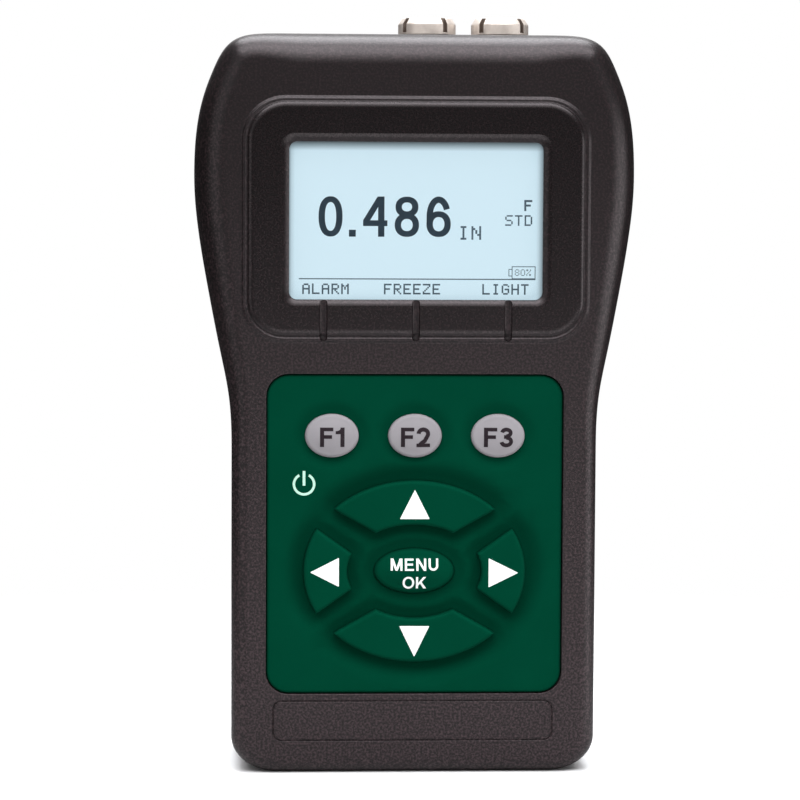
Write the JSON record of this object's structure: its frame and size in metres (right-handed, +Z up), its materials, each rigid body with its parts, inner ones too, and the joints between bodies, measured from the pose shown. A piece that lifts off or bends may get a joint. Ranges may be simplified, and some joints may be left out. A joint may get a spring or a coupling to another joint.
{
  "type": "ultrasonic thickness gauge",
  "caption": "Handheld ultrasonic thickness gauge with a flared head, raised backlit display, silicone keypad, probe sockets on top and a hinged battery door behind.",
  "frame": {"origin": "centre of the bounding box's footprint, on the bottom face that the gauge stands on", "axes": "+Z runs up the case to the probe sockets, the front with display and keypad faces -Y, +X is to the right seen from the front"},
  "size_m": [0.0782, 0.032, 0.1344],
  "materials": {
    "case_plastic": "fine spark texture",
    "seal_rubber": "matt",
    "screw_steel": "plated",
    "clear_window": "clear polished",
    "gasket_foam": "foam",
    "frame_steel": "tinned",
    "display_glass": "backlit display glass",
    "light_guide": "white",
    "strip_rubber": "striped",
    "keypad_silicone": "satin",
    "function_key_silicone": "satin",
    "board_laminate": "solder mask",
    "chip_plastic": "moulded",
    "ferrite": "sintered",
    "capacitor_sleeve": "shrunk sleeve",
    "socket_nickel": "satin nickel plate",
    "insulator_plastic": "turned",
    "contact_brass": "gold plate",
    "wire_sleeve": "extruded",
    "cell_wrap": "printed sleeve",
    "spring_steel": "nickel plate"
  },
  "bodies": {
    "case": {"front_housing": "case_plastic", "rear_housing": "case_plastic", "case_seal": "seal_rubber", "case_screws": "screw_steel", "display_window": "clear_window", "window_gasket": "gasket_foam", "lcd_frame": "frame_steel", "lcd_glass": "display_glass", "backlight_panel": "light_guide", "lcd_connector_strip": "strip_rubber", "keypad_mat": "keypad_silicone", "key_domes": "spring_steel", "main_board": "board_laminate", "board_screws": "screw_steel", "processor_chip": "chip_plastic", "pulser_shield": "frame_steel", "power_inductor": "ferrite", "board_capacitors": "capacitor_sleeve", "buzzer": "chip_plastic", "left_probe_socket": "socket_nickel", "right_probe_socket": "socket_nickel", "socket_nuts": "socket_nickel", "socket_washers": "screw_steel", "socket_insulators": "insulator_plastic", "socket_contacts": "contact_brass", "left_socket_wire": "wire_sleeve", "right_socket_wire": "wire_sleeve", "left_cell": "cell_wrap", "right_cell": "cell_wrap", "battery_springs": "spring_steel", "battery_link": "spring_steel", "battery_terminals": "spring_steel", "battery_leads": "wire_sleeve"},
    "key_f1": {"key_f1": "function_key_silicone"},
    "key_f2": {"key_f2": "function_key_silicone"},
    "key_f3": {"key_f3": "function_key_silicone"},
    "key_up": {"key_up": "keypad_silicone"},
    "key_down": {"key_down": "keypad_silicone"},
    "key_left": {"key_left": "keypad_silicone"},
    "key_right": {"key_right": "keypad_silicone"},
    "key_menu": {"key_menu": "keypad_silicone"},
    "battery_door": {"battery_door": "case_plastic"}
  },
  "joints": [
    {"name": "key_f1_press", "type": "slide", "parent": "case", "child": "key_f1", "axis": [0, 1, 0], "range_m": [0, 0.0008], "stiffness_N_per_m": 1200},
    {"name": "key_f2_press", "type": "slide", "parent": "case", "child": "key_f2", "axis": [0, 1, 0], "range_m": [0, 0.0008], "stiffness_N_per_m": 1200},
    {"name": "key_f3_press", "type": "slide", "parent": "case", "child": "key_f3", "axis": [0, 1, 0], "range_m": [0, 0.0008], "stiffness_N_per_m": 1200},
    {"name": "key_up_press", "type": "slide", "parent": "case", "child": "key_up", "axis": [0, 1, 0], "range_m": [0, 0.0008], "stiffness_N_per_m": 1200},
    {"name": "key_down_press", "type": "slide", "parent": "case", "child": "key_down", "axis": [0, 1, 0], "range_m": [0, 0.0008], "stiffness_N_per_m": 1200},
    {"name": "key_left_press", "type": "slide", "parent": "case", "child": "key_left", "axis": [0, 1, 0], "range_m": [0, 0.0008], "stiffness_N_per_m": 1200},
    {"name": "key_right_press", "type": "slide", "parent": "case", "child": "key_right", "axis": [0, 1, 0], "range_m": [0, 0.0008], "stiffness_N_per_m": 1200},
    {"name": "key_menu_press", "type": "slide", "parent": "case", "child": "key_menu", "axis": [0, 1, 0], "range_m": [0, 0.0008], "stiffness_N_per_m": 1200},
    {"name": "battery_door_hinge", "type": "hinge", "parent": "case", "child": "battery_door", "pos_m": [0, 0.015, 0.009], "axis": [-1, 0, 0], "range_deg": [0, 95]}
  ]
}
